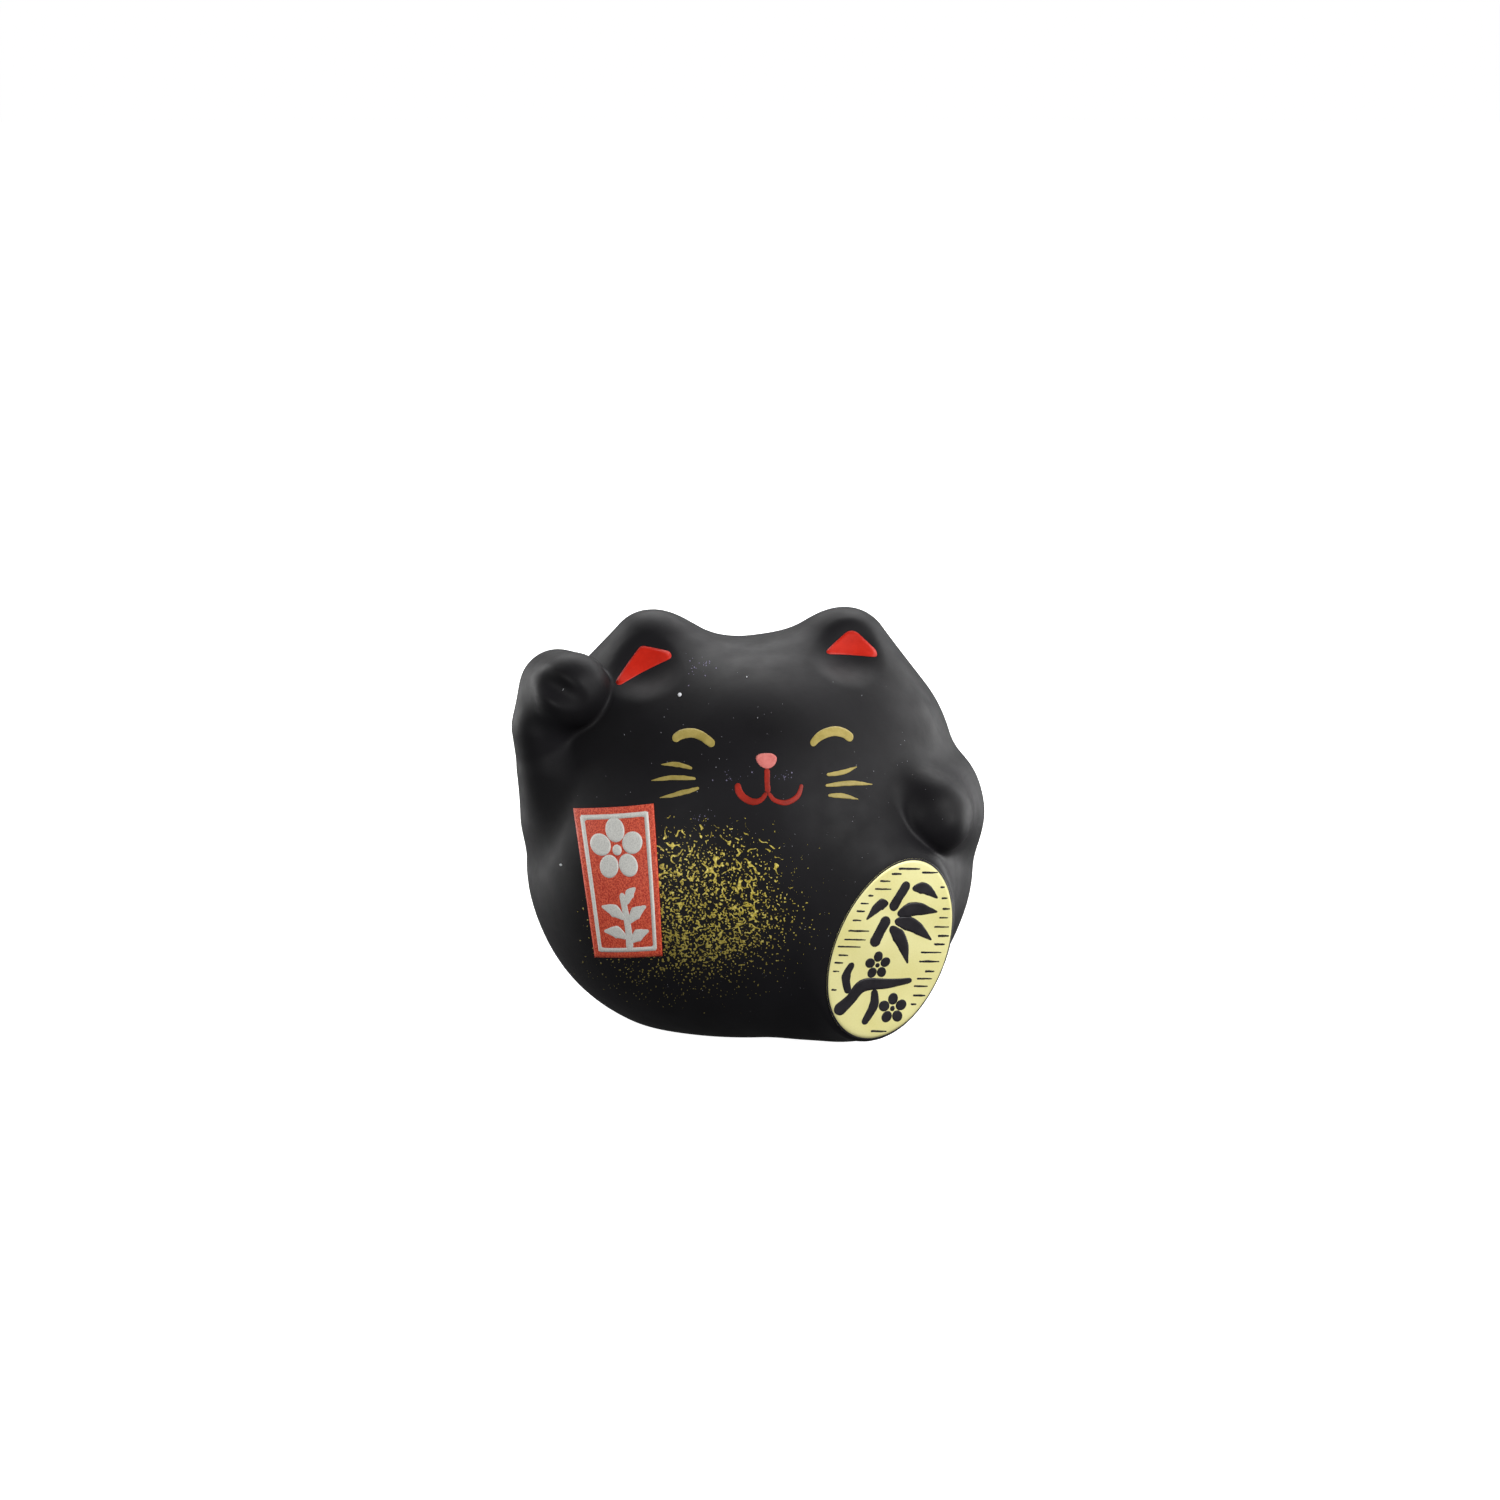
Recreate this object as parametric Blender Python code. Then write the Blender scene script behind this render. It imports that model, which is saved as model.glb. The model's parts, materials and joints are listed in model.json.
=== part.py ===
"""Beckoning cat bell: a hollow clay cat in two moulded halves, a loose pellet and two stuck-on labels.

Sizes are in millimetres and become metres where a mesh is made. The cat faces -Y and stands on z = 0,
with its raised arm on -X. Run with: blender --background --python part.py
"""

import math
from functools import partial

import bmesh
import bpy
import numpy as np
from mathutils import Matrix, Vector

MM = 0.001

# Outside of the clay, as soft lobes about the bell's own middle line
BELLY = dict(centre=(0, 0, 21.5), radii=(29.8, 26.4, 22.5))
SEAT = dict(centre=(0, -0.5, 12.5), radii=(22.7, 20.2, 13.1))
HEAD = dict(centre=(0, 0.5, 33.2), radii=(22.9, 22.4, 17.9))
EAR_FOOT, EAR_TIP = (13.2, 0.3, 38.0), (12.8, 0.5, 49.7)
EAR_RADII = dict(foot_radius=11.8, tip_radius=5.5)
FOREARM = dict(foot=(-25.4, -3.5, 29.0), tip=(-26.7, -4.5, 41.0), foot_radius=5.0, tip_radius=5.4)
RAISED_PAW = dict(foot=(-25.6, -4.0, 45.6), tip=(-24.2, -8.2, 46.2), foot_radius=5.0, tip_radius=5.2)
ELBOW = dict(foot=(25.4, -5.0, 29.0), tip=(22.6, -14.5, 30.6), foot_radius=5.1, tip_radius=4.4)
LOWERED_PAW = dict(foot=(21.8, -16.3, 30.8), tip=(23.0, -17.3, 27.9), foot_radius=4.3, tip_radius=3.1)
TAIL = dict(foot=(2.0, 21.0, 6.5), tip=(9.0, 19.6, 13.0), foot_radius=5.3, tip_radius=4.2)
PLAQUE = dict(centre=(15.6, -18.9, 13.8), half_width=9.2, half_height=13.3, half_depth=3.2, edge_radius=1.5)
PLAQUE_YAW = math.radians(20)  # the oval plaque faces this far round to +X
PLAQUE_LEAN = math.radians(20)  # and its top leans this far to +X
BASE_BLEND = 1.2

# The box round the cat is centred on the origin, and the raised arm stands out further than the elbow
MIDDLE = np.array([0.6, 0.0, 0.0])
REACH = 60.0  # further than any lobe's surface from its own middle

# Inside: a bowl floor that the pellet rolls in, and the hollow of the head above it
CHAMBER = dict(centre=(0, 0, 23.0), radii=(26.0, 22.5, 20.0))
HEAD_HOLLOW = dict(centre=(0, 0.3, 33.0), radii=(20.0, 19.0, 14.3))
HOLLOW_BLEND = 3.0
FLOOR = CHAMBER["centre"][2] - CHAMBER["radii"][2]
PARTING_GAP = 0.3

# The bell's mouth in the base, and the pellet above it
SLOT_WIDTH, SLOT_LENGTH, SLOT_END_RADIUS = 3.4, 24.0, 2.7
SLOT_DEPTH = 6 * FLOOR
PELLET_RADIUS, REST_GAP = 4.5, 0.35
ROLL_RADIUS = CHAMBER["radii"][0] ** 2 / CHAMBER["radii"][2]
PIVOT_HEIGHT = FLOOR + ROLL_RADIUS

# Labels: a paper strip wrapped on the belly, and an oval of foil on the plaque
LABEL_AT = (-19.6, -19.9, 22.4)
LABEL_TOP_WIDTH, LABEL_FOOT_WIDTH, LABEL_HEIGHT = 12.9, 10.3, 21.4
LABEL_LEAN = math.radians(-7)
FOIL_OFFSET = (0.2, -0.5)
FOIL_HALF_WIDTH, FOIL_HALF_HEIGHT = 8.0, 12.3
LABEL_GAP, LABEL_THICKNESS = 0.2, 0.2

FACE_SIZE = 1.6
LOBE_FINENESS, HOLLOW_FINENESS, PELLET_FINENESS = 4, 4, 4

BLACK_PAINT = dict(base=(0.014, 0.014, 0.016), roughness=0.55, metallic=0.0)
BUFF_CLAY = dict(base=(0.36, 0.20, 0.12), roughness=0.9, metallic=0.0)
RED_PAPER = dict(base=(0.62, 0.055, 0.025), roughness=0.8, metallic=0.0)
GOLD_FOIL = dict(base=(0.86, 0.78, 0.42), roughness=0.45, metallic=0.3)


def blend(a, b, softness):
    """The smaller of two fields, rounded where they cross."""
    near = np.maximum(softness - np.abs(a - b), 0) / softness
    return np.minimum(a, b) - near * near * softness / 4


def ellipsoid(p, centre, radii):
    q = p - np.array(centre)
    scaled = np.linalg.norm(q / np.array(radii), axis=-1)
    slope = np.linalg.norm(q / np.array(radii) ** 2, axis=-1)
    return scaled * (scaled - 1) / np.maximum(slope, 1e-9)


def round_cone(p, foot, tip, foot_radius, tip_radius):
    """Distance to the hull of two balls."""
    foot = np.array(foot)
    spine = np.array(tip) - foot
    length = np.linalg.norm(spine)
    along = (p - foot) @ (spine / length)
    out = np.linalg.norm(p - foot - along[..., None] * spine / length, axis=-1)
    taper = (foot_radius - tip_radius) / length
    square = math.sqrt(1 - taper * taper)
    leaned = along * square - out * taper
    side = out * square + along * taper - foot_radius
    at_foot = np.hypot(out, along) - foot_radius
    at_tip = np.hypot(out, along - length) - tip_radius
    return np.where(leaned < 0, at_foot, np.where(leaned > length * square, at_tip, side))


def plaque_axes():
    """The plaque's own right, up and outward directions."""
    outward = np.array([math.sin(PLAQUE_YAW), -math.cos(PLAQUE_YAW), 0])
    level = np.array([math.cos(PLAQUE_YAW), math.sin(PLAQUE_YAW), 0])
    upright = np.array([0, 0, 1.0])
    right = level * math.cos(PLAQUE_LEAN) - upright * math.sin(PLAQUE_LEAN)
    up = upright * math.cos(PLAQUE_LEAN) + level * math.sin(PLAQUE_LEAN)
    return right, up, outward


def oval_plate(p, centre, half_width, half_height, half_depth, edge_radius):
    q = p - np.array(centre)
    right, up, outward = (q @ axis for axis in plaque_axes())
    flat = np.stack([right, up, np.zeros_like(up)], axis=-1)
    radii = (half_width - edge_radius, half_height - edge_radius, 1.0)
    rim = ellipsoid(flat, (0, 0, 0), radii)
    face = np.abs(outward) - (half_depth - edge_radius)
    corner = np.hypot(np.maximum(rim, 0), np.maximum(face, 0))
    return np.minimum(np.maximum(rim, face), 0) + corner - edge_radius


def ear(side):
    foot, tip = (np.array(point) * (side, 1, 1) for point in (EAR_FOOT, EAR_TIP))
    return dict(foot=foot, tip=tip, **EAR_RADII)


# Each lobe's shape and sizes, and how softly it joins the lobes before it
LOBES = (
    (ellipsoid, BELLY, 1.0),
    (ellipsoid, SEAT, 9.0),
    (ellipsoid, HEAD, 10.0),
    (round_cone, ear(-1), 8.0),
    (round_cone, ear(1), 8.0),
    (round_cone, FOREARM, 4.5),
    (round_cone, RAISED_PAW, 2.5),
    (round_cone, ELBOW, 4.5),
    (round_cone, LOWERED_PAW, 2.0),
    (oval_plate, PLAQUE, 2.0),
    (round_cone, TAIL, 5.0),
)


def clay_form(p):
    """The outside of the cat: negative inside the clay, zero on its surface."""
    form = np.full(p.shape[:-1], REACH)
    for shape, sizes, softness in LOBES:
        form = blend(form, shape(p, **sizes), softness)
    return -blend(-form, p[..., 2], BASE_BLEND)


def hollow_form(p):
    return blend(ellipsoid(p, **CHAMBER), ellipsoid(p, **HEAD_HOLLOW), HOLLOW_BLEND)


def slope_of(form, p, step=0.01):
    """The form's gradient by central differences."""
    shifts = np.eye(3) * step
    return np.stack([form(p + shift) - form(p - shift) for shift in shifts], axis=-1) / (2 * step)


def normal_of(form, p):
    slope = slope_of(form, p)
    return slope / np.linalg.norm(slope, axis=-1, keepdims=True)


def settle(form, p):
    """Each point moved along the form's slope onto its surface."""
    for _ in range(6):
        slope = slope_of(form, p)
        p = p - slope * (form(p) / (slope * slope).sum(axis=-1))[..., None]
    return p


def add_ball(mesh, form, centre, fineness):
    """A ball of the bmesh, with each point out along its radius as far as the form reaches."""
    ball = bmesh.ops.create_icosphere(mesh, subdivisions=fineness, radius=1.0)["verts"]
    rays = np.array([vert.co.normalized()[:] for vert in ball])
    near, far = np.zeros(len(rays)), np.full(len(rays), REACH)
    for _ in range(40):
        middle = (near + far) / 2
        held = form(centre + rays * middle[:, None]) < 0
        near, far = np.where(held, middle, near), np.where(held, far, middle)
    for vert, point in zip(ball, centre + rays * near[:, None]):
        vert.co = Vector(point)


def even_out(form, mesh, rounds=5):
    """The mesh's points moved onto the form and spread evenly over it."""
    points = settle(form, np.array([vert.co[:] for vert in mesh.verts]))
    edges = np.array([[vert.index for vert in edge.verts] for edge in mesh.edges])
    ends = np.concatenate([edges, edges[:, ::-1]])
    neighbours = np.bincount(ends[:, 0])[:, None]
    for _ in range(rounds):
        total = np.zeros_like(points)
        np.add.at(total, ends[:, 0], points[ends[:, 1]])
        points = settle(form, (points + total / neighbours) / 2)
    for vert, point in zip(mesh.verts, points):
        vert.co = Vector(point)


def moulded(face_size):
    """The cat's outside in even faces: its lobes run together, then drawn onto the soft form."""
    draft = bmesh.new()
    for shape, sizes, _ in LOBES:
        middle = sizes.get("centre")
        if middle is None:
            middle = np.add(sizes["foot"], sizes["tip"]) / 2
        add_ball(draft, partial(shape, **sizes), np.array(middle), LOBE_FINENESS)
    helper = place("draft", draft, scale=1.0)
    remesh = helper.modifiers.new("even_faces", "REMESH")
    remesh.mode = "VOXEL"
    remesh.voxel_size = face_size
    mesh = bmesh.new()
    mesh.from_object(helper, bpy.context.evaluated_depsgraph_get())
    bpy.data.objects.remove(helper)
    even_out(clay_form, mesh)
    return mesh


def paint(name, base, roughness, metallic):
    material = bpy.data.materials.new(name)
    material.use_nodes = True
    shader = material.node_tree.nodes["Principled BSDF"]
    shader.inputs["Base Color"].default_value = (*base, 1.0)
    shader.inputs["Roughness"].default_value = roughness
    shader.inputs["Metallic"].default_value = metallic
    return material


def place(name, mesh, material=None, scale=MM):
    """An object from a bmesh in millimetres. Without a material it is a helper, left out of the part."""
    bmesh.ops.recalc_face_normals(mesh, faces=mesh.faces)
    bmesh.ops.scale(mesh, vec=(scale, scale, scale), verts=mesh.verts)
    data = bpy.data.meshes.new(name)
    mesh.to_mesh(data)
    mesh.free()
    obj = bpy.data.objects.new(name, data)
    obj.location = Vector(MIDDLE) * MM
    bpy.context.scene.collection.objects.link(obj)
    if material:
        data.materials.append(material)
        data.shade_smooth()
        data.set_sharp_from_angle(angle=math.radians(40))
    else:
        obj.hide_render = True
        obj.display_type = "WIRE"
    return obj


def combine(obj, other, operation):
    modifier = obj.modifiers.new(other.name, "BOOLEAN")
    modifier.operation = operation
    modifier.solver = "EXACT"
    modifier.object = other


def slot_cutter():
    """The bell's mouth: a long slot with a round hole at each end, cut up through the base."""
    slot = bmesh.new()
    bmesh.ops.create_cube(slot, size=1.0)
    bmesh.ops.scale(slot, vec=(SLOT_LENGTH, SLOT_WIDTH, SLOT_DEPTH), verts=slot.verts)
    cutter = place("slot_cutter", slot)
    for side in (-1, 1):
        hole = bmesh.new()
        spot = Matrix.Translation((side * SLOT_LENGTH / 2, 0, 0))
        round_hole = dict(segments=28, radius1=SLOT_END_RADIUS, radius2=SLOT_END_RADIUS, cap_ends=True)
        bmesh.ops.create_cone(hole, depth=SLOT_DEPTH + 1, matrix=spot, **round_hole)
        combine(cutter, place("slot_end_cutter", hole), "UNION")
    return cutter


def half_shell(name, side, outside, cutters):
    """Half of the hollow cat, parted along y = 0: side -1 is the front and side 1 the back."""
    mesh = outside.copy()
    whole = mesh.verts[:] + mesh.edges[:] + mesh.faces[:]
    plane = dict(plane_co=(0, side * PARTING_GAP / 2, 0), plane_no=(0, side, 0))
    parted = bmesh.ops.bisect_plane(mesh, geom=whole, clear_inner=True, **plane)
    rim = [item for item in parted["geom_cut"] if isinstance(item, bmesh.types.BMEdge)]
    bmesh.ops.edgeloop_fill(mesh, edges=rim)
    shell = place(name, mesh, paint("black_paint", **BLACK_PAINT))
    for cutter in cutters:
        combine(shell, cutter, "DIFFERENCE")
    return shell


def pellet():
    """The loose ball, hung from the middle of the arc that it rolls along."""
    ball = bmesh.new()
    below_pivot = ROLL_RADIUS - PELLET_RADIUS - REST_GAP
    spot = Matrix.Translation((0, 0, -below_pivot))
    bmesh.ops.create_icosphere(ball, subdivisions=PELLET_FINENESS, radius=PELLET_RADIUS, matrix=spot)
    obj = place("clay_pellet", ball, paint("buff_clay", **BUFF_CLAY))
    pivot = bpy.data.objects.new("pellet_pivot", None)
    pivot.empty_display_size = PELLET_RADIUS * MM
    pivot.location = Vector(MIDDLE + (0, 0, PIVOT_HEIGHT)) * MM
    bpy.context.scene.collection.objects.link(pivot)
    obj.parent = pivot
    obj.location = (0, 0, 0)


def walk(form, start, heading, distance, steps):
    """Points of a straight walk over the surface, as a strip of paper lies, and the heading at each."""
    points, headings = [start], [heading]
    for _ in range(steps):
        start = settle(form, start + heading * distance / steps)
        normal = normal_of(form, start)
        heading = heading - normal * (heading * normal).sum(axis=-1, keepdims=True)
        heading = heading / np.linalg.norm(heading, axis=-1, keepdims=True)
        points.append(start)
        headings.append(heading)
    return np.array(points), np.array(headings)


def both_ways(form, start, heading, distance, steps):
    """A walk through start that begins distance behind it and ends distance ahead."""
    ahead, headings_ahead = walk(form, start, heading, distance, steps)
    behind, headings_behind = walk(form, start, -heading, distance, steps)
    points = np.concatenate([behind[:0:-1], ahead])
    return points, np.concatenate([-headings_behind[:0:-1], headings_ahead])


def wrapped_strip(columns=6, rows=11):
    """The paper label's points on the belly, and its square faces."""
    centre = settle(clay_form, np.array(LABEL_AT))
    normal = normal_of(clay_form, centre)
    right = np.cross((0, 0, 1.0), normal)
    right /= np.linalg.norm(right)
    up = np.cross(normal, right) * math.cos(LABEL_LEAN) + right * math.sin(LABEL_LEAN)
    spine, headings = both_ways(clay_form, centre, up, LABEL_HEIGHT / 2, rows)
    across = np.cross(headings, normal_of(clay_form, spine))
    half_widths = np.linspace(LABEL_FOOT_WIDTH, LABEL_TOP_WIDTH, len(spine))[:, None] / 2
    grid, _ = both_ways(clay_form, spine, across, half_widths, columns)
    tall = 2 * rows + 1
    corners = [column * tall + row for column in range(2 * columns) for row in range(2 * rows)]
    faces = [(first, first + tall, first + tall + 1, first + 1) for first in corners]
    return grid.reshape(-1, 3), faces


def foil_oval(rings=8, spokes=56):
    """The foil's points on the plaque, and its faces: rings about a middle point."""
    right, up, outward = plaque_axes()
    middle = np.array(PLAQUE["centre"]) + right * FOIL_OFFSET[0] + up * FOIL_OFFSET[1]
    middle = middle + outward * PLAQUE["half_depth"]
    size = np.repeat(np.arange(1, rings + 1) / rings, spokes)[:, None]
    turn = np.tile(np.arange(spokes) / spokes * math.tau, rings)[:, None]
    oval = right * FOIL_HALF_WIDTH * np.cos(turn) + up * FOIL_HALF_HEIGHT * np.sin(turn)
    points = np.concatenate([middle[None], middle + size * oval])
    for _ in range(8):
        fall = slope_of(clay_form, points) @ outward
        points = points - outward * (clay_form(points) / fall)[:, None]
    pairs = [(spoke, (spoke + 1) % spokes) for spoke in range(spokes)]
    faces = [(0, 1 + a, 1 + b) for a, b in pairs]
    for ring in range(rings - 1):
        inner, outer = 1 + ring * spokes, 1 + (ring + 1) * spokes
        faces += [(inner + a, outer + a, outer + b, inner + b) for a, b in pairs]
    return points, faces


def stuck_on(name, points, faces, material):
    """A thin closed sheet that lies on the clay with a small gap."""
    mesh = bmesh.new()
    normals = normal_of(clay_form, points)
    upper = [mesh.verts.new(p) for p in points + normals * (LABEL_GAP + LABEL_THICKNESS)]
    lower = [mesh.verts.new(p) for p in points + normals * LABEL_GAP]
    edges = set()
    for face in faces:
        mesh.faces.new([upper[i] for i in face])
        mesh.faces.new([lower[i] for i in reversed(face)])
        edges.update(zip(face, face[1:] + face[:1]))
    for a, b in edges:
        if (b, a) not in edges:
            mesh.faces.new([upper[b], upper[a], lower[a], lower[b]])
    place(name, mesh, material)


def main():
    for obj in list(bpy.data.objects):
        bpy.data.objects.remove(obj)
    hollow = bmesh.new()
    add_ball(hollow, hollow_form, np.array(CHAMBER["centre"]), HOLLOW_FINENESS)
    chamber = place("chamber_cutter", hollow)
    slot = slot_cutter()
    outside = moulded(FACE_SIZE)
    half_shell("front_shell", -1, outside, (chamber, slot))
    half_shell("back_shell", 1, outside, (chamber, slot))
    pellet()
    stuck_on("fortune_label", *wrapped_strip(), paint("red_paper", **RED_PAPER))
    stuck_on("koban_label", *foil_oval(), paint("gold_foil", **GOLD_FOIL))


main()
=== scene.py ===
"""The finished look of the beckoning cat bell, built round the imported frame.

Forms and sizes are in millimetres about the bell's own middle line, and become metres where a mesh is
made. The cat faces -Y. Paint and print are thin closed sheets laid on the clay.
"""

import json
import math
from functools import partial

import bmesh
import bpy
import numpy as np
from mathutils import Matrix, Vector, noise


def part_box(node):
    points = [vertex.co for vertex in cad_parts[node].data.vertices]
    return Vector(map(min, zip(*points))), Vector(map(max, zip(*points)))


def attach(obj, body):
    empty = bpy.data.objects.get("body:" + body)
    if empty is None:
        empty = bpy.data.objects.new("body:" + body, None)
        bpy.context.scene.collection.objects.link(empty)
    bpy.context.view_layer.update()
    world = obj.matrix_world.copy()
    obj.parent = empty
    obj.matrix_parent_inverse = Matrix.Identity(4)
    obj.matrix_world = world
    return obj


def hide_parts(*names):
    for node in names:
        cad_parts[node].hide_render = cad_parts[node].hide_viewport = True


MM = 0.001

# The view, as in the photograph, and the floor: metres and degrees
VIEW_DISTANCE, VIEW_WIDTH, VIEW_HEIGHT = 0.620, 0.200, 0.0363
VIEW_AZIMUTH, VIEW_ELEVATION = -4.0, 10.0
FLOOR_RADIUS = 3.0

DRAFT_FINENESS = 5  # subdivisions of each lobe's ball
HALVINGS = 40  # steps of the search for a lobe's surface
SEAM_GAP = 0.002

# ---------------------------------------------------------------- the clay's form, in millimetres

BELLY = dict(centre=(0, 0, 21.5), radii=(29.8, 26.4, 22.5))
SEAT = dict(centre=(0, -0.5, 12.5), radii=(22.7, 20.2, 13.1))
HEAD = dict(centre=(0, 0.5, 33.2), radii=(22.9, 22.4, 17.9))
EARS = (
    dict(foot=(-14.9, 0.3, 38.0), tip=(-13.1, 0.5, 49.7), foot_radius=11.8, tip_radius=5.5),
    dict(foot=(12.8, 0.3, 38.0), tip=(12.8, 0.5, 49.7), foot_radius=11.8, tip_radius=5.5),
)
FOREARM = dict(foot=(-25.2, -3.5, 29.0), tip=(-26.5, -4.5, 40.5), foot_radius=4.9, tip_radius=5.3)
RAISED_PAW = dict(foot=(-25.6, -4.0, 45.6), tip=(-24.0, -8.4, 45.9), foot_radius=5.1, tip_radius=5.1)
ELBOW = dict(foot=(25.4, -5.0, 29.0), tip=(23.0, -14.0, 29.9), foot_radius=5.1, tip_radius=4.7)
LOWERED_PAW = dict(foot=(22.6, -15.4, 30.5), tip=(23.7, -17.2, 29.3), foot_radius=4.6, tip_radius=3.1)
TAIL = dict(foot=(2.0, 21.0, 6.5), tip=(9.0, 19.6, 13.0), foot_radius=5.3, tip_radius=4.2)
PLAQUE = dict(
    centre=(15.35, -18.95, 13.95), half_width=9.1, half_height=12.9, half_depth=3.2, edge_radius=1.2
)
FOOT = dict(centre=(8.6, -13.6, 5.2), radii=(6.0, 5.4, 5.3))  # the body's swell beside the plaque
PLAQUE_YAW = math.radians(20)
PLAQUE_LEAN = math.radians(22.4)

# How softly each lobe runs into what it joins
SEAT_BLEND, FOOT_BLEND, HEAD_BLEND, EAR_BLEND, DISH_BLEND = 9.0, 4.0, 10.0, 8.0, 1.6
RAISED_PAW_BLEND, PAW_FOLD_BLEND, LOWERED_PAW_BLEND = 2.2, 1.5, 3.5
PLAQUE_BLEND, TAIL_BLEND, BASE_BLEND = 5.0, 5.0, 1.2
REACH = 60.0  # further than any lobe's surface from its own middle

CHAMBER = dict(centre=(0, 0, 23.0), radii=(26.0, 22.5, 20.0))
HEAD_HOLLOW = dict(centre=(0, 0.3, 33.0), radii=(20.0, 19.0, 14.3))
HOLLOW_BLEND = 3.0
SLOT_WIDTH, SLOT_LENGTH, SLOT_END_RADIUS, SLOT_DEPTH = 3.4, 24.0, 2.7, 18.0
PELLET_ROUGHNESS = 0.06


def blend(a, b, softness):
    """The smaller of two fields, rounded where they cross."""
    near = np.maximum(softness - np.abs(a - b), 0) / softness
    return np.minimum(a, b) - near * near * softness / 4


def carve(form, groove, softness):
    """The field with the groove taken out of it, rounded along the cut."""
    return -blend(-form, groove, softness)


def ellipsoid(p, centre, radii):
    q = p - np.array(centre)
    scaled = np.linalg.norm(q / np.array(radii), axis=-1)
    slope = np.linalg.norm(q / np.array(radii) ** 2, axis=-1)
    return scaled * (scaled - 1) / np.maximum(slope, 1e-9)


def round_cone(p, foot, tip, foot_radius, tip_radius):
    """Distance to the hull of two balls."""
    foot = np.array(foot)
    spine = np.array(tip) - foot
    length = np.linalg.norm(spine)
    along = (p - foot) @ (spine / length)
    out = np.linalg.norm(p - foot - along[..., None] * spine / length, axis=-1)
    taper = (foot_radius - tip_radius) / length
    square = math.sqrt(1 - taper * taper)
    leaned = along * square - out * taper
    side = out * square + along * taper - foot_radius
    at_foot = np.hypot(out, along) - foot_radius
    at_tip = np.hypot(out, along - length) - tip_radius
    return np.where(leaned < 0, at_foot, np.where(leaned > length * square, at_tip, side))


def plaque_axes():
    """The plaque's own right, up and outward directions."""
    outward = np.array([math.sin(PLAQUE_YAW), -math.cos(PLAQUE_YAW), 0])
    level = np.array([math.cos(PLAQUE_YAW), math.sin(PLAQUE_YAW), 0])
    upright = np.array([0, 0, 1.0])
    right = level * math.cos(PLAQUE_LEAN) - upright * math.sin(PLAQUE_LEAN)
    up = upright * math.cos(PLAQUE_LEAN) + level * math.sin(PLAQUE_LEAN)
    return right, up, outward


def oval_plate(p, centre, half_width, half_height, half_depth, edge_radius):
    q = p - np.array(centre)
    right, up, outward = (q @ axis for axis in plaque_axes())
    flat = np.stack([right, up, np.zeros_like(up)], axis=-1)
    radii = (half_width - edge_radius, half_height - edge_radius, 1.0)
    rim = ellipsoid(flat, (0, 0, 0), radii)
    face = np.abs(outward) - (half_depth - edge_radius)
    corner = np.hypot(np.maximum(rim, 0), np.maximum(face, 0))
    return np.minimum(np.maximum(rim, face), 0) + corner - edge_radius


# Every lobe, for the draft that the clay's faces start from
LOBES = (
    (ellipsoid, BELLY),
    (ellipsoid, SEAT),
    (ellipsoid, FOOT),
    (ellipsoid, HEAD),
    (round_cone, EARS[0]),
    (round_cone, EARS[1]),
    (round_cone, FOREARM),
    (round_cone, RAISED_PAW),
    (round_cone, ELBOW),
    (round_cone, LOWERED_PAW),
    (oval_plate, PLAQUE),
    (round_cone, TAIL),
)

# The shallow fold across the raised paw, and the slightly hollow fronts of the ears
PAW_FOLD = dict(foot=(-29.8, -10.6, 49.0), tip=(-23.8, -14.4, 45.7), foot_radius=1.2, tip_radius=1.1)
EAR_DISHES = (
    dict(centre=(-16.0, -12.3, 53.3), radii=(7.0, 7.0, 7.0)),
    dict(centre=(13.7, -11.1, 54.8), radii=(7.0, 7.0, 7.0)),
)


def ramp(value, start, end, low, high):
    """Low up to the start, high from the end, and a smooth rise between."""
    share = np.clip((value - start) / (end - start), 0, 1)
    return low + (high - low) * share * share * (3 - 2 * share)


def hand_wobble(p):
    """The slow unevenness of a clay surface smoothed by hand."""
    x, y, z = p[..., 0], p[..., 1], p[..., 2]
    slow = np.sin(x * 0.21 + 1.3) * np.sin(z * 0.24 + 0.4) + np.sin(y * 0.26 + x * 0.11 + 2.1)
    quick = np.sin(x * 0.53 + z * 0.31) * np.sin(y * 0.47 - z * 0.39 + 0.8)
    return 0.05 * slow + 0.03 * quick


def clay_form(p):
    """The outside of the cat: negative inside the clay, zero on its surface."""
    form = blend(ellipsoid(p, **BELLY), ellipsoid(p, **SEAT), SEAT_BLEND)
    form = blend(form, ellipsoid(p, **FOOT), FOOT_BLEND)
    form = blend(form, ellipsoid(p, **HEAD), HEAD_BLEND)
    for ear in EARS:
        form = blend(form, round_cone(p, **ear), EAR_BLEND)
    for dish in EAR_DISHES:
        form = carve(form, ellipsoid(p, **dish), DISH_BLEND)
    raised = blend(round_cone(p, **FOREARM), round_cone(p, **RAISED_PAW), RAISED_PAW_BLEND)
    raised = carve(raised, round_cone(p, **PAW_FOLD), PAW_FOLD_BLEND)
    # The forearm melts into the body, and the paw stands clear of it
    form = blend(form, raised, ramp(p[..., 2], 34.5, 40.0, 4.5, 0.8))
    form = blend(form, oval_plate(p, **PLAQUE), PLAQUE_BLEND)
    lowered = blend(round_cone(p, **ELBOW), round_cone(p, **LOWERED_PAW), LOWERED_PAW_BLEND)
    # The lowered paw has a crisp edge on its inner side, and melts away outwards and upwards
    tuck = ramp(p[..., 0], 23.0, 31.0, 0.8, 5.0) + ramp(p[..., 2], 29.5, 36.0, 0.0, 3.0)
    form = blend(form, lowered, tuck)
    form = blend(form, round_cone(p, **TAIL), TAIL_BLEND)
    form = form + hand_wobble(p)
    return -blend(-form, p[..., 2], BASE_BLEND)


def hollow_form(p):
    return blend(ellipsoid(p, **CHAMBER), ellipsoid(p, **HEAD_HOLLOW), HOLLOW_BLEND)


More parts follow.
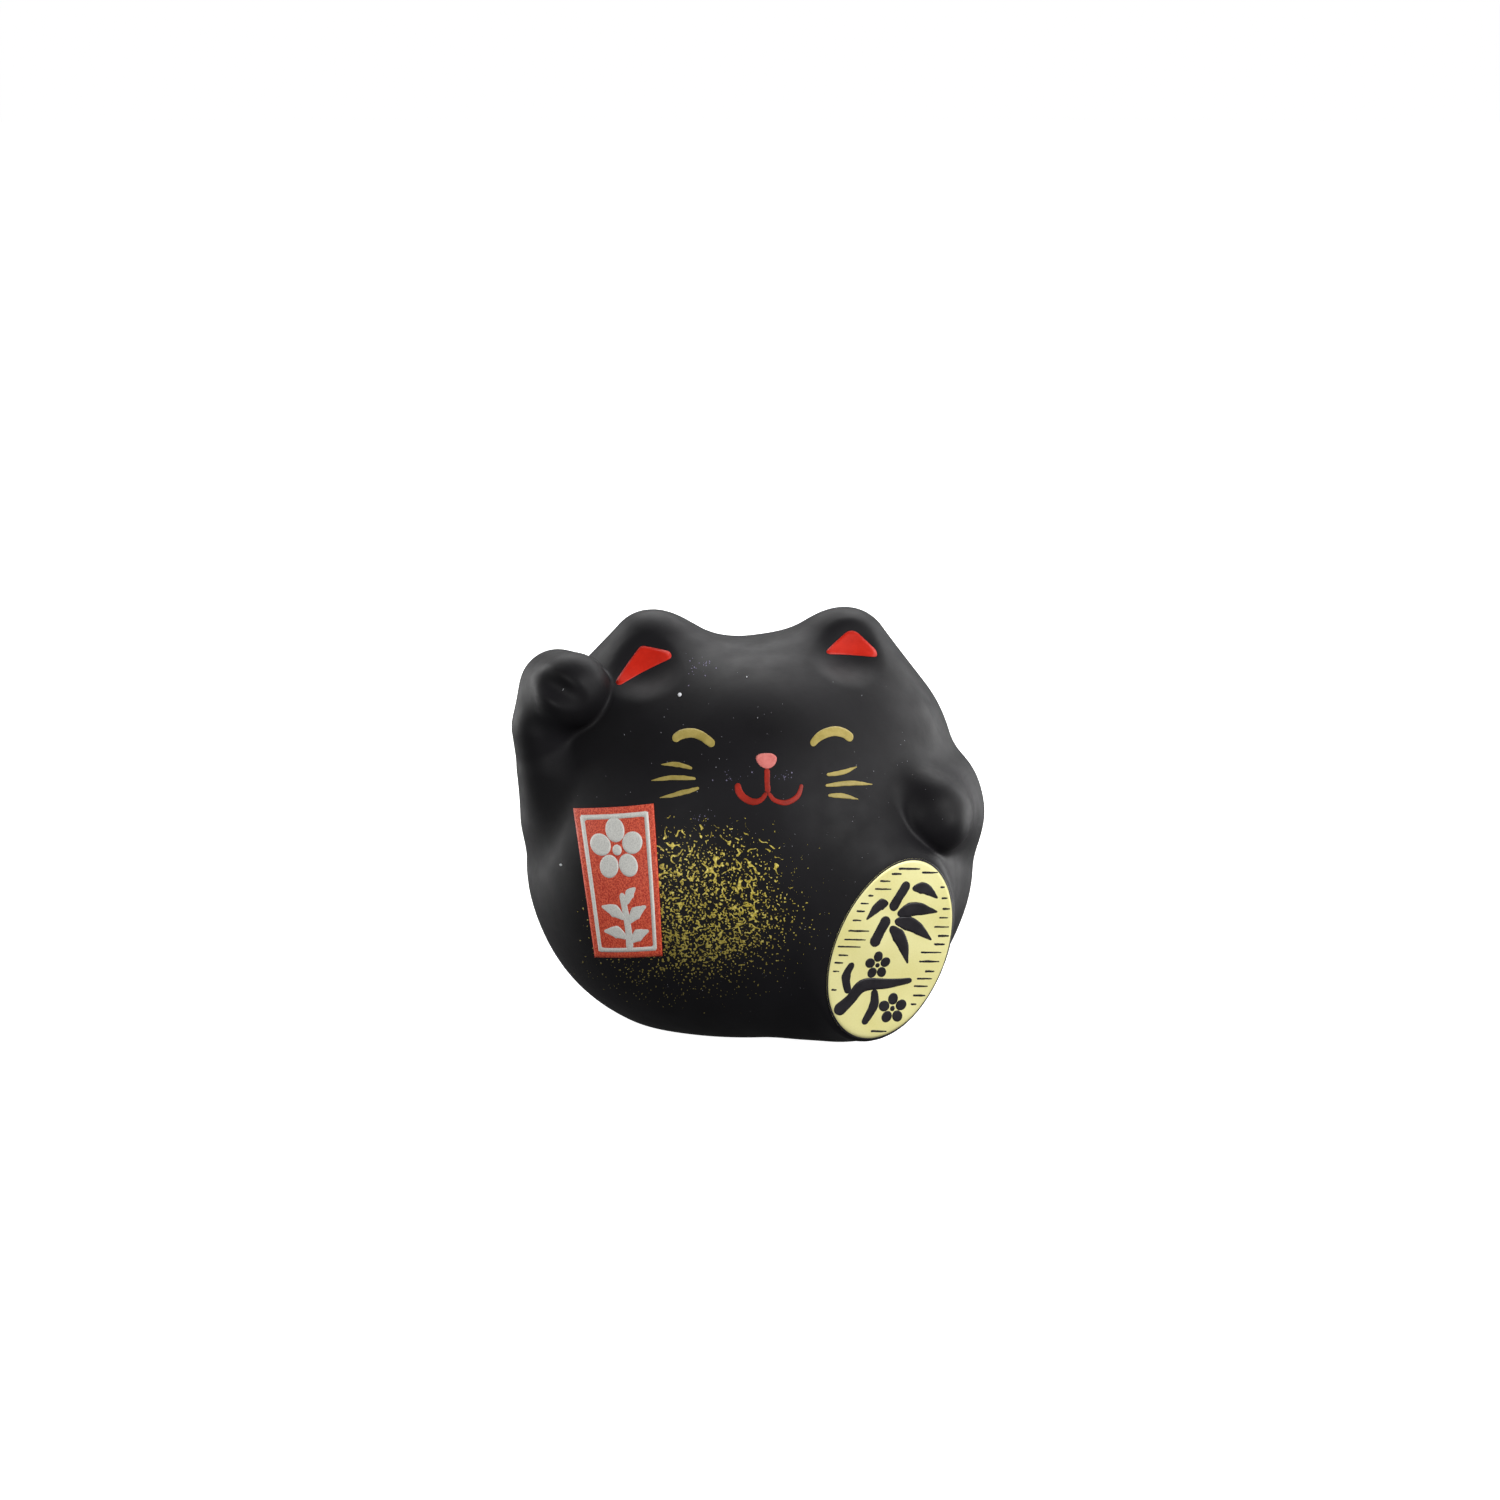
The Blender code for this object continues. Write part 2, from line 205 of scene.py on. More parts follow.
def slope_of(form, p, step=0.01):
    """The form's gradient by central differences."""
    shifts = np.eye(3) * step
    return np.stack([form(p + shift) - form(p - shift) for shift in shifts], axis=-1) / (2 * step)


def normal_of(form, p):
    slope = slope_of(form, p)
    return slope / np.linalg.norm(slope, axis=-1, keepdims=True)


def settle(form, p, rounds=5):
    """Each point moved along the form's slope onto its surface."""
    for _ in range(rounds):
        slope = slope_of(form, p)
        p = p - slope * (form(p) / (slope * slope).sum(axis=-1))[..., None]
    return p


def drop(p, direction, rounds=24, stride=0.95):
    """Each point moved along the direction until it meets the clay."""
    for _ in range(rounds):
        p = p + direction * clay_form(p)[..., None] * stride
    return p


# ---------------------------------------------------------------- meshes


def read_points(mesh):
    flat = np.empty(len(mesh.vertices) * 3)
    mesh.vertices.foreach_get("co", flat)
    return flat.reshape(-1, 3)


def link(name, mesh, materials=()):
    obj = bpy.data.objects.new(name, mesh)
    bpy.context.scene.collection.objects.link(obj)
    mesh.materials.clear()
    for material in materials:
        mesh.materials.append(material)
    return obj


def finished(obj):
    """The object's mesh with its modifiers applied; the object is removed."""
    graph = bpy.context.evaluated_depsgraph_get()
    mesh = bpy.data.meshes.new_from_object(obj.evaluated_get(graph))
    bpy.data.objects.remove(obj)
    return mesh


def add_ball(mesh, form, centre, fineness):
    """A ball of the bmesh, with each point out along its radius as far as the form reaches."""
    ball = bmesh.ops.create_icosphere(mesh, subdivisions=fineness, radius=1.0)["verts"]
    rays = np.array([vert.co.normalized()[:] for vert in ball])
    near, far = np.zeros(len(rays)), np.full(len(rays), REACH)
    for _ in range(HALVINGS):
        middle = (near + far) / 2
        held = form(centre + rays * middle[:, None]) < 0
        near, far = np.where(held, middle, near), np.where(held, far, middle)
    for vert, point in zip(ball, centre + rays * near[:, None]):
        vert.co = Vector(point)


def from_bmesh(name, made):
    mesh = bpy.data.meshes.new(name)
    made.to_mesh(mesh)
    made.free()
    return mesh


def even_out(form, mesh, rounds):
    """The mesh's points moved onto the form and spread evenly over it."""
    points = settle(form, read_points(mesh))
    ends = np.empty(len(mesh.edges) * 2, dtype=np.int64)
    mesh.edges.foreach_get("vertices", ends)
    ends = ends.reshape(-1, 2)
    ends = np.concatenate([ends, ends[:, ::-1]])
    neighbours = np.bincount(ends[:, 0])[:, None]
    for _ in range(rounds):
        sums = [np.bincount(ends[:, 0], points[ends[:, 1], axis]) for axis in range(3)]
        points = settle(form, (points + np.stack(sums, axis=-1) / neighbours) / 2, rounds=1)
    points = settle(form, points, rounds=3)
    mesh.vertices.foreach_set("co", points.ravel())
    mesh.update()


def clay_outside(face_size):
    """The cat's outside in fine even faces: its lobes run together, then drawn onto the soft form."""
    draft = bmesh.new()
    for shape, sizes in LOBES:
        middle = sizes.get("centre")
        if middle is None:
            middle = np.add(sizes["foot"], sizes["tip"]) / 2
        add_ball(draft, partial(shape, **sizes), np.array(middle), DRAFT_FINENESS)
    helper = link("draft", from_bmesh("draft", draft))
    remesh = helper.modifiers.new("even_faces", "REMESH")
    remesh.mode = "VOXEL"
    remesh.voxel_size = face_size
    mesh = finished(helper)
    even_out(clay_form, mesh, rounds=6)
    return mesh


def block(size, at=(0, 0, 0)):
    made = bmesh.new()
    bmesh.ops.create_cube(made, size=1.0)
    bmesh.ops.scale(made, vec=size, verts=made.verts)
    bmesh.ops.translate(made, vec=at, verts=made.verts)
    return made


def hollow_cutters():
    """Helpers that cut the bell chamber and its slot with round ends."""
    chamber = bmesh.new()
    add_ball(chamber, hollow_form, np.array(CHAMBER["centre"]), DRAFT_FINENESS)
    shapes = [chamber, block((SLOT_LENGTH, SLOT_WIDTH, SLOT_DEPTH))]
    for side in (-1, 1):
        hole = bmesh.new()
        spot = Matrix.Translation((side * SLOT_LENGTH / 2, 0, 0))
        radii = dict(radius1=SLOT_END_RADIUS, radius2=SLOT_END_RADIUS)
        bmesh.ops.create_cone(hole, segments=48, depth=SLOT_DEPTH + 1, matrix=spot, cap_ends=True, **radii)
        shapes.append(hole)
    return [link("cutter", from_bmesh("cutter", shape)) for shape in shapes]


def cut_by(obj, cutters):
    for cutter in cutters:
        modifier = obj.modifiers.new("cut", "BOOLEAN")
        modifier.operation = "DIFFERENCE"
        modifier.solver = "MANIFOLD"
        modifier.object = cutter
    return finished(obj)


def half_of(outside, side):
    """The front (side -1) or back (side 1) half of the outside, closed along the parting plane."""
    made = bmesh.new()
    made.from_mesh(outside)
    whole = made.verts[:] + made.edges[:] + made.faces[:]
    plane = dict(plane_co=(0, side * SEAM_GAP / 2, 0), plane_no=(0, side, 0))
    parted = bmesh.ops.bisect_plane(made, geom=whole, clear_inner=True, **plane)
    rim = [item for item in parted["geom_cut"] if isinstance(item, bmesh.types.BMEdge)]
    bmesh.ops.edgeloop_fill(made, edges=rim)
    return from_bmesh("half", made)


OUTSIDE_TOUCH, CHAMBER_TOUCH = 0.05, 0.12  # a corner this near to a form is on it


def shade_by_forms(mesh):
    """Gives the outside and the chamber their forms' own smooth normals, and marks what is bare clay."""
    points = read_points(mesh)
    outer = np.abs(clay_form(points)) < OUTSIDE_TOUCH
    inner = np.abs(hollow_form(points)) < CHAMBER_TOUCH
    outward = normal_of(clay_form, points)
    inward = -normal_of(hollow_form, points)
    normals = []
    for polygon in mesh.polygons:
        corners = list(polygon.vertices)
        flat = np.array(polygon.normal[:])
        on_outside = outer[corners].all() and flat @ outward[corners[0]] > 0.5
        in_chamber = inner[corners].all() and flat @ inward[corners[0]] > 0.5
        polygon.material_index = 0 if on_outside else 1
        polygon.use_smooth = bool(on_outside or in_chamber)
        smooth = outward if on_outside else inward
        normals += [smooth[corner] if polygon.use_smooth else flat for corner in corners]
    mesh.normals_split_custom_set([Vector(normal) for normal in normals])


def in_metres(obj):
    """Moves the object's mesh from millimetres about the middle line to its place in the frame."""
    obj.data.transform(Matrix.Translation(MIDDLE) @ Matrix.Scale(MM, 4))
    return obj


def make_shells(materials):
    outside = clay_outside(0.45)
    cutters = hollow_cutters()
    for name, node, side in (("front_skin", "front_shell", -1), ("back_skin", "back_shell", 1)):
        mesh = cut_by(link("half", half_of(outside, side)), cutters)
        shade_by_forms(mesh)
        skin = in_metres(link(name, mesh, materials))
        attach(skin, "body")
        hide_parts(node)
    for cutter in cutters:
        bpy.data.objects.remove(cutter)


# ---------------------------------------------------------------- thin sheets laid on the clay

BACKWARD = np.array([0, 1.0, 0])
BEFORE_CAT = -30.0  # the y of a plane in front of the cat
SUNK = -0.02  # how far paint reaches under the clay's surface
INK_GAP = 0.004  # between a printed sheet and its ink

LABEL_FOOT = ((-21.3, 12.0), (-12.9, 13.5))  # (x, z) of its left and right corners
LABEL_TOP = ((-23.9, 31.2), (-13.9, 33.2))
LABEL_WIDTH, LABEL_HEIGHT = 11.9, 20.3
LABEL_LOW, LABEL_HIGH, LABEL_INK = 0.05, 0.20, 0.012

FOIL_OFFSET = (0.15, -0.1)
FOIL_HALF_WIDTH, FOIL_HALF_HEIGHT = 8.5, 12.35
FOIL_LOW, FOIL_HIGH, FOIL_INK = 0.04, 0.12, 0.012


def slide(p, direction, rounds=4):
    """Each point, already near the clay, moved along the direction onto it."""
    for _ in range(rounds):
        fall = slope_of(clay_form, p) @ direction
        p = p - direction * (clay_form(p) / fall)[..., None]
    return p


def onto_front(flat):
    """Points given as (x, z), moved back from in front of the cat until they lie on it."""
    start = np.stack([flat[..., 0], np.full(flat.shape[:-1], BEFORE_CAT), flat[..., 1]], axis=-1)
    return slide(drop(start, BACKWARD), BACKWARD)


def label_grid(count=17):
    """Points of the label over the clay: grid[column][row], between its four corners."""
    rows = np.linspace(LABEL_FOOT, LABEL_TOP, count)
    return onto_front(np.linspace(rows[:, 0], rows[:, 1], count))


def onto_label(grid, flat):
    """Points given as (across, up) from the label's middle, laid on the clay."""
    last = np.array(grid.shape[:2]) - 1
    place = (flat / (LABEL_WIDTH, LABEL_HEIGHT) + 0.5) * last
    cell = np.clip(place.astype(int), 0, last - 1)
    part = (place - cell)[..., None]
    column, row = cell[..., 0], cell[..., 1]
    low = grid[column, row] * (1 - part[..., 0, :]) + grid[column + 1, row] * part[..., 0, :]
    high = grid[column, row + 1] * (1 - part[..., 0, :]) + grid[column + 1, row + 1] * part[..., 0, :]
    return settle(clay_form, low * (1 - part[..., 1, :]) + high * part[..., 1, :])


def onto_foil(flat):
    """Points given as (right, up) from the foil's middle, pressed onto the plaque's face."""
    right, up, outward = plaque_axes()
    middle = np.array(PLAQUE["centre"]) + outward * PLAQUE["half_depth"]
    middle = middle + right * FOIL_OFFSET[0] + up * FOIL_OFFSET[1]
    return slide(middle + flat[..., :1] * right + flat[..., 1:] * up, outward, rounds=8)


def sheet(shape, lay, low, high, crown=0.0):
    """A thin closed sheet from low to high above the clay, its edge lower by the crown's share.

    The shape is flat points, faces that turn anticlockwise, and how near each point is to the edge.
    """
    flat, faces, edge = shape
    ground = lay(flat)
    out = normal_of(clay_form, ground)
    top = low + (high - low) * (1 - crown * edge[:, None] ** 3)
    count = len(ground)
    edges = {(a, b) for face in faces for a, b in zip(face, face[1:] + face[:1])}
    walls = [(b, a, a + count, b + count) for a, b in sorted(edges) if (b, a) not in edges]
    under = [tuple(corner + count for corner in reversed(face)) for face in faces]
    return np.concatenate([ground + out * top, ground + out * low]), faces, walls + under


def piece(name, sheets, material):
    """One object of closed sheets, their tops smooth and their walls flat, that rides on the body."""
    points, faces, smooth, first = [], [], [], 0
    for corners, tops, rest in sheets:
        faces += [tuple(corner + first for corner in face) for face in tops + rest]
        smooth += [True] * len(tops) + [False] * len(rest)
        points.append(corners)
        first += len(corners)
    mesh = bpy.data.meshes.new(name)
    mesh.from_pydata(np.concatenate(points), [], faces)
    mesh.polygons.foreach_set("use_smooth", smooth)
    obj = in_metres(link(name, mesh, [material]))
    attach(obj, "body")
    return obj


# ---------------------------------------------------------------- flat shapes


def curve_through(points, places):
    """A smooth curve through the points, at places from 0 to 1 along it."""
    points = np.array(points, dtype=float)
    padded = np.concatenate([[2 * points[0] - points[1]], points, [2 * points[-1] - points[-2]]])
    spot = np.array(places) * (len(points) - 1)
    first = np.minimum(spot.astype(int), len(points) - 2)
    t = (spot - first)[:, None]
    a, b, c, d = (padded[first + shift] for shift in range(4))
    return b + t * (c - a + t * (2 * a - 5 * b + 4 * c - d + t * (3 * b - 3 * c + d - a))) / 2


def grid_faces(rows, columns):
    return [
        (r * columns + c, (r + 1) * columns + c, (r + 1) * columns + c + 1, r * columns + c + 1)
        for r in range(rows - 1)
        for c in range(columns - 1)
    ]


def stroke(rng, points, widths, count=48, ragged=0.03):
    """A brush stroke along a smooth curve, with rounded ends and slightly uneven edges."""
    places = (1 - np.cos(np.linspace(0, math.pi, count))) / 2
    line = curve_through(points, places)
    half = np.interp(places, np.linspace(0, 1, len(widths)), widths) / 2
    along = np.append(0, np.cumsum(np.linalg.norm(np.diff(line, axis=0), axis=1)))
    from_end = np.minimum(along, along[-1] - along)
    half = half * np.sqrt(np.maximum(1 - np.maximum(1 - from_end / half, 0) ** 2, 0.003))
    heading = np.gradient(line, axis=0)
    heading = heading / np.linalg.norm(heading, axis=1, keepdims=True)
    left = np.stack([-heading[:, 1], heading[:, 0]], axis=-1)
    across = np.linspace(-1, 1, 7)
    steps = np.linspace(0, 1, count)
    left_wear = np.interp(steps, np.linspace(0, 1, 13), rng.normal(0, ragged, 13))[:, None]
    right_wear = np.interp(steps, np.linspace(0, 1, 15), rng.normal(0, ragged, 15))[:, None]
    wear = np.where(across < 0, left_wear, right_wear) * np.minimum(half, 0.5)[:, None]
    width = (half[:, None] + wear) * across
    flat = line[:, None, :] + left[:, None, :] * width[..., None]
    edge = np.broadcast_to(np.abs(across), (count, len(across)))
    return flat.reshape(-1, 2), grid_faces(count, len(across)), edge.reshape(-1)


def rounded(corners, radius, count=72):
    """A closed outline with straight sides and rounded corners, evenly stepped."""
    corners = np.array(corners, dtype=float)
    path = []
    for before, corner, after in zip(np.roll(corners, 1, axis=0), corners, np.roll(corners, -1, axis=0)):
        sides = (before - corner, after - corner)
        start, end = (corner + side * min(radius / np.linalg.norm(side), 0.5) for side in sides)
        for t in np.linspace(0, 1, 7):
            path.append(start * (1 - t) ** 2 + corner * 2 * t * (1 - t) + end * t * t)
    path = np.array(path + path[:1])
    along = np.append(0, np.cumsum(np.linalg.norm(np.diff(path, axis=0), axis=1)))
    places = np.linspace(0, along[-1], count, endpoint=False)
    return np.stack([np.interp(places, along, path[:, axis]) for axis in range(2)], axis=-1)


def oval(at, size, turn=0.0, count=28):
    """An ellipse's outline, turned by an angle in degrees."""
    angles = np.linspace(0, 2 * math.pi, count, endpoint=False)
    x, y = np.cos(angles) * size[0] / 2, np.sin(angles) * size[1] / 2
    cos, sin = math.cos(math.radians(turn)), math.sin(math.radians(turn))
    return np.array(at) + np.stack([x * cos - y * sin, x * sin + y * cos], axis=-1)


def patch(outline, rings=5):
    """A shape filled from its middle out to an outline that turns anticlockwise."""
    middle, count = outline.mean(axis=0), len(outline)
    shares = np.linspace(0, 1, rings + 1)[1:]
    flat = np.concatenate([[middle], *(middle + (outline - middle) * share for share in shares)])
    edge = np.concatenate([[0.0], np.repeat(shares, count)])
    steps = [(i, (i + 1) % count) for i in range(count)]
    faces = [(0, 1 + a, 1 + b) for a, b in steps]
    for ring in range(rings - 1):
        inner, outer = 1 + ring * count, 1 + (ring + 1) * count
        faces += [(inner + a, outer + a, outer + b, inner + b) for a, b in steps]
    return flat, faces, edge


def ring_of(outside, inside, steps=2):
    """The band between two outlines with the same number of points."""
    count = len(outside)
    shares = np.linspace(0, 1, steps + 1)
    flat = np.concatenate([inside + (outside - inside) * share for share in shares])
    pairs = [(i, (i + 1) % count) for i in range(count)]
    faces = [
        (r * count + a, (r + 1) * count + a, (r + 1) * count + b, r * count + b)
        for r in range(steps)
        for a, b in pairs
    ]
    return flat, faces, np.repeat(np.abs(shares * 2 - 1), count)


def blossom(at, size, turn=0.0):
    """Five round petals and a heart, none of them touching."""
    shapes = [patch(oval(at, (size * 0.17, size * 0.17), count=20), rings=2)]
    for petal in range(5):
        angle = turn + 90 + 72 * petal
        way = np.array([math.cos(math.radians(angle)), math.sin(math.radians(angle))])
        shapes.append(patch(oval(np.array(at) + way * size * 0.31, (size * 0.38, size * 0.345), angle)))
    return shapes


# ---------------------------------------------------------------- the face

EYES = (
    ((-11.6, 41.1), (-10.6, 41.8), (-9.2, 42.1), (-7.8, 41.75), (-6.4, 40.8)),
    ((6.1, 40.7), (7.4, 41.7), (9.2, 42.1), (10.7, 41.7), (11.7, 40.9)),
)
EYE_WIDTHS = (0.85, 1.05, 1.1, 1.1, 1.0)
NOSE = ((-1.3, 39.5), (-0.8, 38.5), (0.2, 38.0), (1.2, 38.4), (1.7, 39.4), (1.0, 39.95), (-0.6, 39.95))
PHILTRUM = ((0.25, 38.15), (0.2, 36.7), (0.25, 35.2))
MOUTH_LEFT = ((-3.6, 36.4), (-3.45, 35.4), (-2.8, 34.6), (-1.6, 34.1), (-0.6, 34.4), (0.1, 35.2))
MOUTH_RIGHT = ((0.3, 35.2), (1.1, 34.3), (2.6, 33.95), (4.1, 34.7), (4.7, 36.1))
WHISKERS = (
    ((-9.3, 38.0), (-11.3, 38.35), (-13.2, 38.2)),
    ((-8.9, 36.8), (-11.8, 36.75), (-14.5, 36.2)),
    ((-8.5, 35.7), (-11.0, 34.9), (-13.5, 34.2)),
    ((8.0, 37.1), (10.0, 37.2), (12.1, 37.7)),
    ((7.8, 35.8), (11.0, 35.85), (14.1, 35.4)),
    ((8.1, 34.6), (10.0, 34.4), (12.1, 33.8)),
)
WHISKER_WIDTHS = (0.3, 0.55, 0.6, 0.45, 0.08)
EAR_PATCHES = (
    ((-15.1, 51.6), (-18.7, 47.2), (-18.2, 46.85), (-11.1, 50.3), (-11.3, 51.0)),
    ((12.4, 53.1), (9.1, 50.7), (9.5, 50.4), (16.1, 49.8), (16.0, 50.6), (13.4, 53.0)),
)
FACE_SHIFT = (0.35, -0.22)
PAINT_HIGH = 0.025


def onto_face(flat):
    return onto_front(flat + np.array(FACE_SHIFT))


def paint_face(paints):
    rng = np.random.default_rng(3)
    paint = partial(sheet, lay=onto_face, low=SUNK, high=PAINT_HIGH, crown=0.3)
    piece("closed_eyes", [paint(stroke(rng, line, EYE_WIDTHS)) for line in EYES], paints["straw"])
    whiskers = [paint(stroke(rng, line, WHISKER_WIDTHS, ragged=0.08)) for line in WHISKERS]
    piece("whiskers", whiskers, paints["straw"])
    ears = [paint(patch(rounded(corners, 0.5))) for corners in EAR_PATCHES]
    piece("ear_insides", ears, paints["red"])
    mouth = [
        paint(stroke(rng, PHILTRUM, (0.75, 0.7, 0.75))),
        paint(stroke(rng, MOUTH_LEFT, (0.7, 0.95, 0.9, 0.8, 0.6, 0.5))),
        paint(stroke(rng, MOUTH_RIGHT, (0.5, 0.55, 0.65, 0.65, 0.5))),
    ]
    piece("mouth", mouth, paints["deep_red"])
    nose = sheet(patch(rounded(NOSE, 0.7)), onto_face, SUNK, 2.5 * PAINT_HIGH, crown=0.5)
    piece("nose", [nose], paints["pink"])


# ---------------------------------------------------------------- the gold speckle

SPECKLE_BOX = (-24.0, 10.5, 5.0, 32.0)  # left, right, bottom, top
SPECKLE_CENTRE = (-7.4, 20.0)
SPECKLE_LEFT, SPECKLE_RIGHT, SPECKLE_UP = 12.3, 11.9, 11.0
SPECKLE_HIGH = 0.035


def noise_field(x, z, size, seed):
    """Smooth noise from -1 to 1 whose blobs are about half of size across."""
    spots = np.stack([x.ravel() / size, z.ravel() / size], axis=-1)
    values = [noise.noise(Vector((a, b, seed))) for a, b in spots]
    return np.array(values).reshape(x.shape)


def speckle_cover(x, z):
    """Above zero where there is gold: short curls at the top, fine dust at the foot and the edges."""
    right = x - SPECKLE_CENTRE[0] + 0.3 * np.maximum(SPECKLE_CENTRE[1] - z, 0)
    wide = np.where(right > 0, SPECKLE_RIGHT, SPECKLE_LEFT)
    away = np.hypot(right / wide, (z - SPECKLE_CENTRE[1]) / SPECKLE_UP)
    away = away + 0.10 * noise_field(x, z, 5.0, 1.5)
    high = np.clip((z - 16.0) / 10.0, 0, 1)
    low = np.clip((15.0 - z) / 5.0, 0, 1)
    thin = np.maximum(away - 0.6, 0)
    bend_x = x + 0.45 * noise_field(x, z, 1.1, 9.2)
    bend_z = z + 0.45 * noise_field(x, z, 1.1, 4.7)
    curls = 0.115 - np.abs(noise_field(bend_x, bend_z, 1.25, 3.3))
    breaks = noise_field(x, z, 0.95, 6.1) - 0.01
    coarse = np.minimum(curls * 2.4, breaks) - 0.20 * (1 - high) - 0.40 * thin
    threads = 0.11 - np.abs(noise_field(bend_x, bend_z, 0.55, 7.4))
    gaps = noise_field(x, z, 0.4, 5.5) + 0.02
    fine = np.minimum(threads * 2, gaps) - 0.10 * high - 0.12 * low - 1.2 * thin
    dust = noise_field(x, z, 0.25, 2.2) - 0.22 - 0.12 * high - 0.50 * thin
    return np.maximum(np.maximum(coarse, fine), dust)


def islands(x, z, cover):
    """Every part of a grid where the cover is above zero, as one shape with many islands."""
    flat, faces, known = [], [], {}

    def point(i, j, k, m):
        key = (i, j, k, m)
        if key not in known:
            share = cover[i, j] / (cover[i, j] - cover[k, m]) if (i, j) != (k, m) else 0.0
            share = min(max(share, 0.0), 0.97)
            flat.append((x[i, j] + (x[k, m] - x[i, j]) * share, z[i, j] + (z[k, m] - z[i, j]) * share))
            known[key] = len(flat) - 1
        return known[key]

    inside = cover > 0
    count = inside[:-1, :-1].astype(int) + inside[1:, :-1] + inside[:-1, 1:] + inside[1:, 1:]
    # A cell that is covered at two opposite corners only is left out.
    split = (inside[:-1, :-1] == inside[1:, 1:]) & (inside[1:, :-1] == inside[:-1, 1:]) & (count == 2)
    for i, j in np.argwhere((count > 0) & ~split):
        corners = [(i, j), (i + 1, j), (i + 1, j + 1), (i, j + 1)]
        face = []
        for one, two in zip(corners, corners[1:] + corners[:1]):
            if inside[one]:
                face.append(point(*one, *one))
            if inside[one] and not inside[two]:
                face.append(point(*one, *two))
            if inside[two] and not inside[one]:
                face.append(point(*two, *one))
        faces.append(tuple(face))
    return np.array(flat), faces, np.zeros(len(flat))


def spray_speckle(material):
    left, right, bottom, top = SPECKLE_BOX
    step = 0.075
    x, z = np.meshgrid(np.arange(left, right, step), np.arange(bottom, top, step), indexing="ij")
    shape = islands(x, z, speckle_cover(x, z))
    piece("gold_speckle", [sheet(shape, onto_front, SUNK, SPECKLE_HIGH)], material)


# ---------------------------------------------------------------- the fortune label

FRAME_MARGIN, FRAME_WIDTH = 0.85, 0.62
FRAME_CORNER = 0.12
SPRIG = (
    (((0.4, -9.0), (0.4, -5.6), (-0.1, -1.0)), (1.3, 1.1, 0.9)),
    (((0.7, -7.9), (2.0, -7.0), (3.9, -6.4)), (0.5, 1.9, 0.3)),
    (((0.0, -7.3), (-1.6, -6.4), (-3.7, -6.2)), (0.5, 1.9, 0.3)),
    (((0.6, -5.2), (1.9, -3.9), (3.7, -3.0)), (0.5, 1.9, 0.3)),
    (((-0.1, -4.6), (-1.6, -3.4), (-3.6, -2.7)), (0.5, 1.9, 0.3)),
    (((0.5, -2.6), (1.2, -1.2), (2.2, -0.4)), (0.5, 1.5, 0.3)),
)


def label_rectangle(inset, count=120):
    across, up = LABEL_WIDTH / 2 - inset, LABEL_HEIGHT / 2 - inset
    return rounded(((-across, -up), (across, -up), (across, up), (-across, up)), FRAME_CORNER, count)


def paste_label(paper, ink):
    rng = np.random.default_rng(5)
    lay = partial(onto_label, label_grid())
    size = 41
    u, v = np.meshgrid(np.linspace(-0.5, 0.5, size), np.linspace(-0.5, 0.5, size), indexing="ij")
    flat = np.stack([u.ravel() * LABEL_WIDTH, v.ravel() * LABEL_HEIGHT], axis=-1)
    sheet_of_paper = (flat, grid_faces(size, size), np.zeros(len(flat)))
    label = piece("label_paper", [sheet(sheet_of_paper, lay, LABEL_LOW, LABEL_HIGH)], paper)
    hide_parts("fortune_label")
    printed = partial(sheet, lay=lay, low=LABEL_HIGH + INK_GAP, high=LABEL_HIGH + LABEL_INK)
    frame_band = ring_of(label_rectangle(FRAME_MARGIN), label_rectangle(FRAME_MARGIN + FRAME_WIDTH))
    piece("label_frame", [printed(frame_band)], ink)
    piece("label_blossom", [printed(shape) for shape in blossom((-0.1, 4.7), 8.3)], ink)
    piece("label_sprig", [printed(stroke(rng, line, widths)) for line, widths in SPRIG], ink)


# ---------------------------------------------------------------- the koban foil

DASH_TURN = math.radians(16)
DASH_STEP = 1.2
OUTLINE_WIDTH = 0.16
BAMBOO = (
    (((-3.0, -0.4), (-2.8, 1.8), (-2.5, 3.9)), (1.7, 1.45, 1.6)),
    (((-2.35, 4.8), (-2.0, 6.7), (-1.4, 9.0)), (1.55, 1.3, 1.4)),
    (((-1.3, 4.6), (1.0, 6.0), (4.5, 6.6)), (0.8, 2.0, 1.6, 0.2)),
    (((-1.3, 3.7), (1.6, 3.9), (5.2, 2.9)), (0.8, 2.0, 1.6, 0.2)),
    (((-1.6, 2.8), (0.8, 1.5), (3.0, -1.0)), (0.8, 1.9, 1.5, 0.2)),
    (((-0.5, 8.4), (1.4, 8.9), (3.8, 8.3)), (0.6, 1.6, 1.3, 0.2)),
    (((-3.2, 5.6), (-4.4, 4.8), (-5.4, 2.6)), (0.6, 1.6, 1.2, 0.2)),
)
BRANCH = (
    (((-4.2, -10.2), (-3.0, -7.9), (-2.0, -5.6), (1.4, -4.3), (4.6, -2.9)), (1.9, 1.5, 1.8, 1.4, 0.7)),
    (((-3.6, -7.2), (-4.9, -5.2), (-4.8, -3.2)), (0.9, 1.3, 0.8)),
    (((-0.2, -5.6), (0.6, -7.6), (0.2, -10.4)), (0.9, 1.4, 0.9)),
)
PLUM_BLOSSOMS = (((-1.2, -2.5), 3.8), ((3.4, -7.2), 4.2))


def foil_reach(b):
    return FOIL_HALF_WIDTH * math.sqrt(max(1 - (b / FOIL_HALF_HEIGHT) ** 2, 0))


